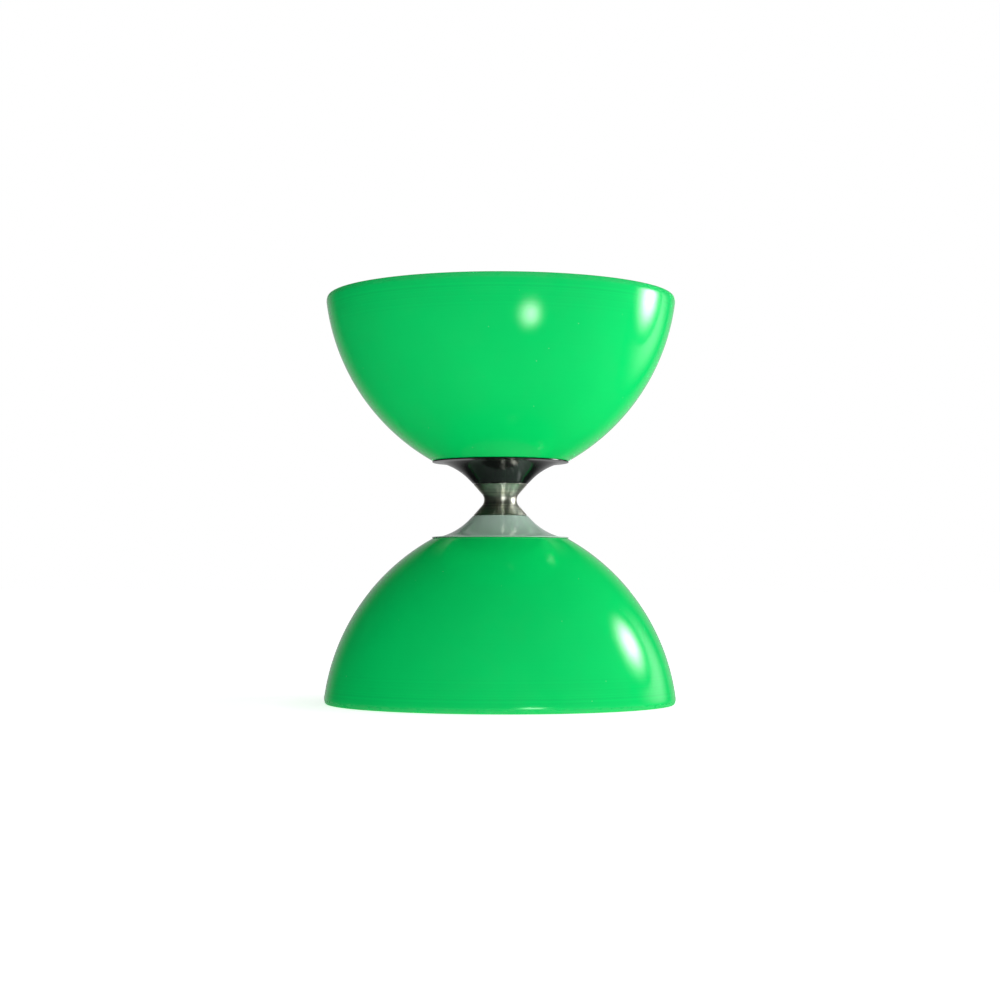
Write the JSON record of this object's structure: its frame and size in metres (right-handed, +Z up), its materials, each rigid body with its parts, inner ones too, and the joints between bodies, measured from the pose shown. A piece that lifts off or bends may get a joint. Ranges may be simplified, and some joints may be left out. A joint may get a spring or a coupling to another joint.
{
  "type": "bearing diabolo",
  "caption": "Bearing diabolo: two glossy flexible cups joined base to base through flared hubs and a steel roller that spins freely on the axle.",
  "frame": {"origin": "centre of the lower rim, on the plane that the diabolo stands on", "axes": "+Z up along the axle, from the cup with the white hub to the cup with the black hub; +X to the right and +Y away from a person in front of it"},
  "size_m": [0.127, 0.127, 0.1474],
  "materials": {
    "green_cup": "glossy moulded flexible plastic",
    "black_hub": "glossy moulded plastic",
    "white_hub": "glossy moulded plastic",
    "polished_steel": "turned and polished",
    "bearing_steel": "ground",
    "zinc_plate": "bright zinc plated",
    "spring_steel": "phosphated",
    "cage_nylon": "moulded",
    "insert_nylon": "moulded"
  },
  "bodies": {
    "cup_assembly": {"axle_rod": "zinc_plate", "lower_cup": "green_cup", "lower_hub": "white_hub", "lower_bush": "polished_steel", "lower_clamp_disc": "zinc_plate", "lower_washer": "zinc_plate", "lower_lock_nut": "zinc_plate", "lower_nut_insert": "insert_nylon", "upper_cup": "green_cup", "upper_hub": "black_hub", "upper_bush": "polished_steel", "upper_clamp_disc": "zinc_plate", "upper_washer": "zinc_plate", "upper_lock_nut": "zinc_plate", "upper_nut_insert": "insert_nylon", "lower_bearing_inner_ring": "bearing_steel", "middle_bearing_inner_ring": "bearing_steel", "upper_bearing_inner_ring": "bearing_steel"},
    "roller": {"roller": "polished_steel", "lower_snap_ring": "spring_steel", "upper_snap_ring": "spring_steel", "lower_bearing_outer_ring": "bearing_steel", "lower_bearing_bottom_shield": "bearing_steel", "lower_bearing_top_shield": "bearing_steel", "middle_bearing_outer_ring": "bearing_steel", "middle_bearing_bottom_shield": "bearing_steel", "middle_bearing_top_shield": "bearing_steel", "upper_bearing_outer_ring": "bearing_steel", "upper_bearing_bottom_shield": "bearing_steel", "upper_bearing_top_shield": "bearing_steel"},
    "lower_cage": {"lower_bearing_cage": "cage_nylon", "lower_bearing_ball_1": "bearing_steel", "lower_bearing_ball_2": "bearing_steel", "lower_bearing_ball_3": "bearing_steel", "lower_bearing_ball_4": "bearing_steel", "lower_bearing_ball_5": "bearing_steel", "lower_bearing_ball_6": "bearing_steel", "lower_bearing_ball_7": "bearing_steel"},
    "middle_cage": {"middle_bearing_cage": "cage_nylon", "middle_bearing_ball_1": "bearing_steel", "middle_bearing_ball_2": "bearing_steel", "middle_bearing_ball_3": "bearing_steel", "middle_bearing_ball_4": "bearing_steel", "middle_bearing_ball_5": "bearing_steel", "middle_bearing_ball_6": "bearing_steel", "middle_bearing_ball_7": "bearing_steel"},
    "upper_cage": {"upper_bearing_cage": "cage_nylon", "upper_bearing_ball_1": "bearing_steel", "upper_bearing_ball_2": "bearing_steel", "upper_bearing_ball_3": "bearing_steel", "upper_bearing_ball_4": "bearing_steel", "upper_bearing_ball_5": "bearing_steel", "upper_bearing_ball_6": "bearing_steel", "upper_bearing_ball_7": "bearing_steel"}
  },
  "joints": [
    {"name": "roller_spin", "type": "hinge", "parent": "cup_assembly", "child": "roller", "pos_m": [0, 0, 0.0737], "axis": [0, 0, 1], "continuous": true},
    {"name": "lower_cage_spin", "type": "hinge", "parent": "cup_assembly", "child": "lower_cage", "pos_m": [0, 0, 0.0706], "axis": [0, 0, 1], "continuous": true},
    {"name": "middle_cage_spin", "type": "hinge", "parent": "cup_assembly", "child": "middle_cage", "pos_m": [0, 0, 0.0737], "axis": [0, 0, 1], "continuous": true},
    {"name": "upper_cage_spin", "type": "hinge", "parent": "cup_assembly", "child": "upper_cage", "pos_m": [0, 0, 0.0768], "axis": [0, 0, 1], "continuous": true}
  ],
  "couplings": [
    {"joint": "lower_cage_spin", "follows": "roller_spin", "ratio": 0.575},
    {"joint": "middle_cage_spin", "follows": "roller_spin", "ratio": 0.575},
    {"joint": "upper_cage_spin", "follows": "roller_spin", "ratio": 0.575}
  ]
}
